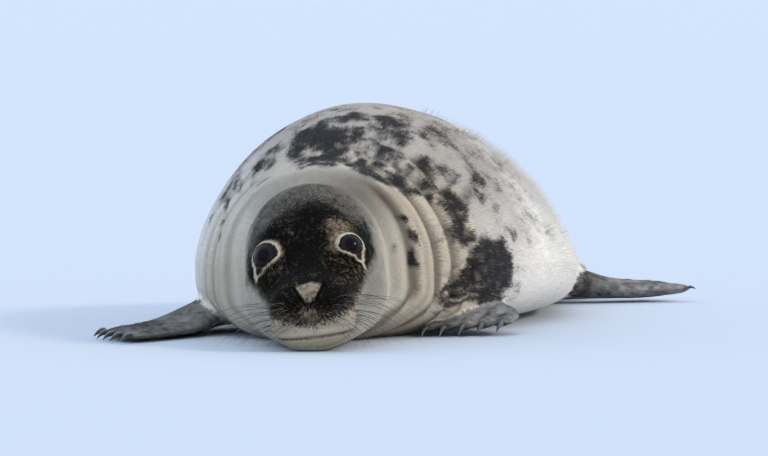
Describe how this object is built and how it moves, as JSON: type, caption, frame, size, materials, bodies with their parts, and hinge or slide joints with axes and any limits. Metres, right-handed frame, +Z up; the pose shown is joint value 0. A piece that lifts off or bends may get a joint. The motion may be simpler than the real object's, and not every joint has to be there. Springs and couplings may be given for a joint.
{
  "type": "grey seal pup",
  "caption": "Life-size weaned grey seal pup resting on its belly, chin on the floor, facing forward with its body curving back to its left.",
  "frame": {"origin": "on the floor, under the middle of the animal's bounding box", "axes": "+Z up; the head points to -Y and the body lies back along +Y, curving towards +X, the seal's own left"},
  "size_m": [0.6968, 1.139, 0.252],
  "materials": {
    "coat": "short dense fur, pale silver grey with dark blotches",
    "face": "very short dark fur with grey frosting",
    "flipper": "very short grey fur",
    "claw": "dark horn, satin",
    "eye": "wet, nearly black"
  },
  "bodies": {
    "root": {"belly": "coat", "chest": "coat", "claw_fore_left_1": "claw", "claw_fore_left_2": "claw", "claw_fore_left_3": "claw", "claw_fore_left_4": "claw", "claw_fore_left_5": "claw", "claw_fore_right_1": "claw", "claw_fore_right_2": "claw", "claw_fore_right_3": "claw", "claw_fore_right_4": "claw", "claw_fore_right_5": "claw", "claw_hind_left_1": "claw", "claw_hind_left_2": "claw", "claw_hind_left_3": "claw", "claw_hind_left_4": "claw", "claw_hind_left_5": "claw", "claw_hind_right_1": "claw", "claw_hind_right_2": "claw", "claw_hind_right_3": "claw", "claw_hind_right_4": "claw", "claw_hind_right_5": "claw", "eye_left": "eye", "eye_right": "eye", "flipper_fore_left": "flipper", "flipper_fore_right": "flipper", "flipper_hind_left": "flipper", "flipper_hind_right": "flipper", "head": "face", "hindquarters": "coat", "lower_jaw": "face", "neck": "coat", "tail": "coat"}
  },
  "joints": []
}
